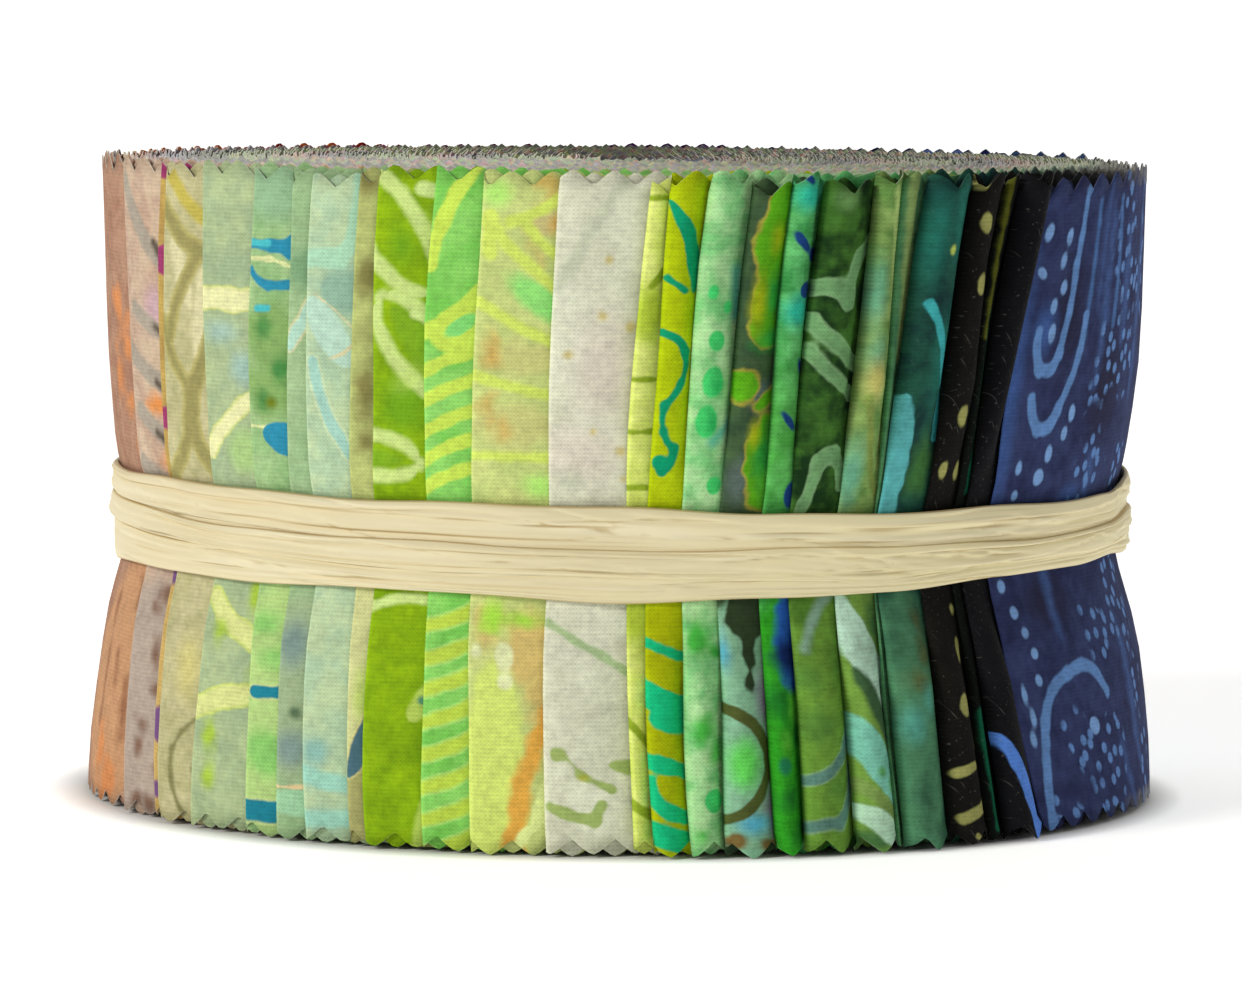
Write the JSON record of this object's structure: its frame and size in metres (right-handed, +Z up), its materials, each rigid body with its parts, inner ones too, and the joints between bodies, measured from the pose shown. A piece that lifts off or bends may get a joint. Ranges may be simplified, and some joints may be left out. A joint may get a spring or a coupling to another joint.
{
  "type": "rolled bundle of folded fabric strips",
  "caption": "Standing roll of folded batik cotton strips with pinked edges, lapped round the outside and tied at the waist with raffia.",
  "frame": {"origin": "middle of the foot, on the surface that the roll stands on", "axes": "+Z up through the roll; -Y is the side the picture shows; +X is to the right there"},
  "size_m": [0.1052, 0.1056, 0.0635],
  "materials": {
    "wound_cloth": "matte edges of many printed cottons wound together",
    "terracotta_cloth": "matte plain-weave batik cotton",
    "peach_cloth": "matte plain-weave batik cotton",
    "ochre_cloth": "matte plain-weave batik cotton",
    "khaki_cloth": "matte plain-weave batik cotton",
    "sage_cloth": "matte plain-weave batik cotton",
    "pond_cloth": "matte plain-weave batik cotton",
    "celery_cloth": "matte plain-weave batik cotton",
    "mint_cloth": "matte plain-weave batik cotton",
    "olive_cloth": "matte plain-weave batik cotton",
    "lime_cloth": "matte plain-weave batik cotton",
    "apple_cloth": "matte plain-weave batik cotton",
    "lemon_cloth": "matte plain-weave batik cotton",
    "ivory_cloth": "matte plain-weave batik cotton",
    "citrus_cloth": "matte plain-weave batik cotton",
    "chartreuse_cloth": "matte plain-weave batik cotton",
    "seafoam_cloth": "matte plain-weave batik cotton",
    "moss_cloth": "matte plain-weave batik cotton",
    "emerald_cloth": "matte plain-weave batik cotton",
    "forest_cloth": "matte plain-weave batik cotton",
    "fern_cloth": "matte plain-weave batik cotton",
    "pine_cloth": "matte plain-weave batik cotton",
    "teal_cloth": "matte plain-weave batik cotton",
    "black_cloth": "matte plain-weave batik cotton",
    "bottle_cloth": "matte plain-weave batik cotton",
    "jet_cloth": "matte plain-weave batik cotton",
    "navy_cloth": "matte plain-weave batik cotton",
    "denim_cloth": "matte plain-weave batik cotton",
    "cornflower_cloth": "matte plain-weave batik cotton",
    "indigo_cloth": "matte plain-weave batik cotton",
    "violet_cloth": "matte plain-weave batik cotton",
    "lilac_cloth": "matte plain-weave batik cotton",
    "purple_cloth": "matte plain-weave batik cotton",
    "plum_cloth": "matte plain-weave batik cotton",
    "magenta_cloth": "matte plain-weave batik cotton",
    "raspberry_cloth": "matte plain-weave batik cotton",
    "scarlet_cloth": "matte plain-weave batik cotton",
    "coral_cloth": "matte plain-weave batik cotton",
    "tangerine_cloth": "matte plain-weave batik cotton",
    "rust_cloth": "matte plain-weave batik cotton",
    "cocoa_cloth": "matte plain-weave batik cotton",
    "raffia": "dry creased raffia with a soft sheen"
  },
  "bodies": {
    "root": {"wound_roll": "wound_cloth", "strip_01_terracotta": "terracotta_cloth", "strip_02_peach": "peach_cloth", "strip_03_ochre": "ochre_cloth", "strip_04_khaki": "khaki_cloth", "strip_05_sage": "sage_cloth", "strip_06_pond": "pond_cloth", "strip_07_celery": "celery_cloth", "strip_08_mint": "mint_cloth", "strip_09_olive": "olive_cloth", "strip_10_lime": "lime_cloth", "strip_11_apple": "apple_cloth", "strip_12_lemon": "lemon_cloth", "strip_13_ivory": "ivory_cloth", "strip_14_citrus": "citrus_cloth", "strip_15_chartreuse": "chartreuse_cloth", "strip_16_seafoam": "seafoam_cloth", "strip_17_moss": "moss_cloth", "strip_18_emerald": "emerald_cloth", "strip_19_forest": "forest_cloth", "strip_20_fern": "fern_cloth", "strip_21_pine": "pine_cloth", "strip_22_teal": "teal_cloth", "strip_23_black": "black_cloth", "strip_24_bottle": "bottle_cloth", "strip_25_jet": "jet_cloth", "strip_26_navy": "navy_cloth", "strip_27_denim": "denim_cloth", "strip_28_cornflower": "cornflower_cloth", "strip_29_indigo": "indigo_cloth", "strip_30_violet": "violet_cloth", "strip_31_lilac": "lilac_cloth", "strip_32_purple": "purple_cloth", "strip_33_plum": "plum_cloth", "strip_34_magenta": "magenta_cloth", "strip_35_raspberry": "raspberry_cloth", "strip_36_scarlet": "scarlet_cloth", "strip_37_coral": "coral_cloth", "strip_38_tangerine": "tangerine_cloth", "strip_39_rust": "rust_cloth", "strip_40_cocoa": "cocoa_cloth", "raffia_upper": "raffia", "raffia_middle": "raffia", "raffia_lower": "raffia"}
  },
  "joints": []
}
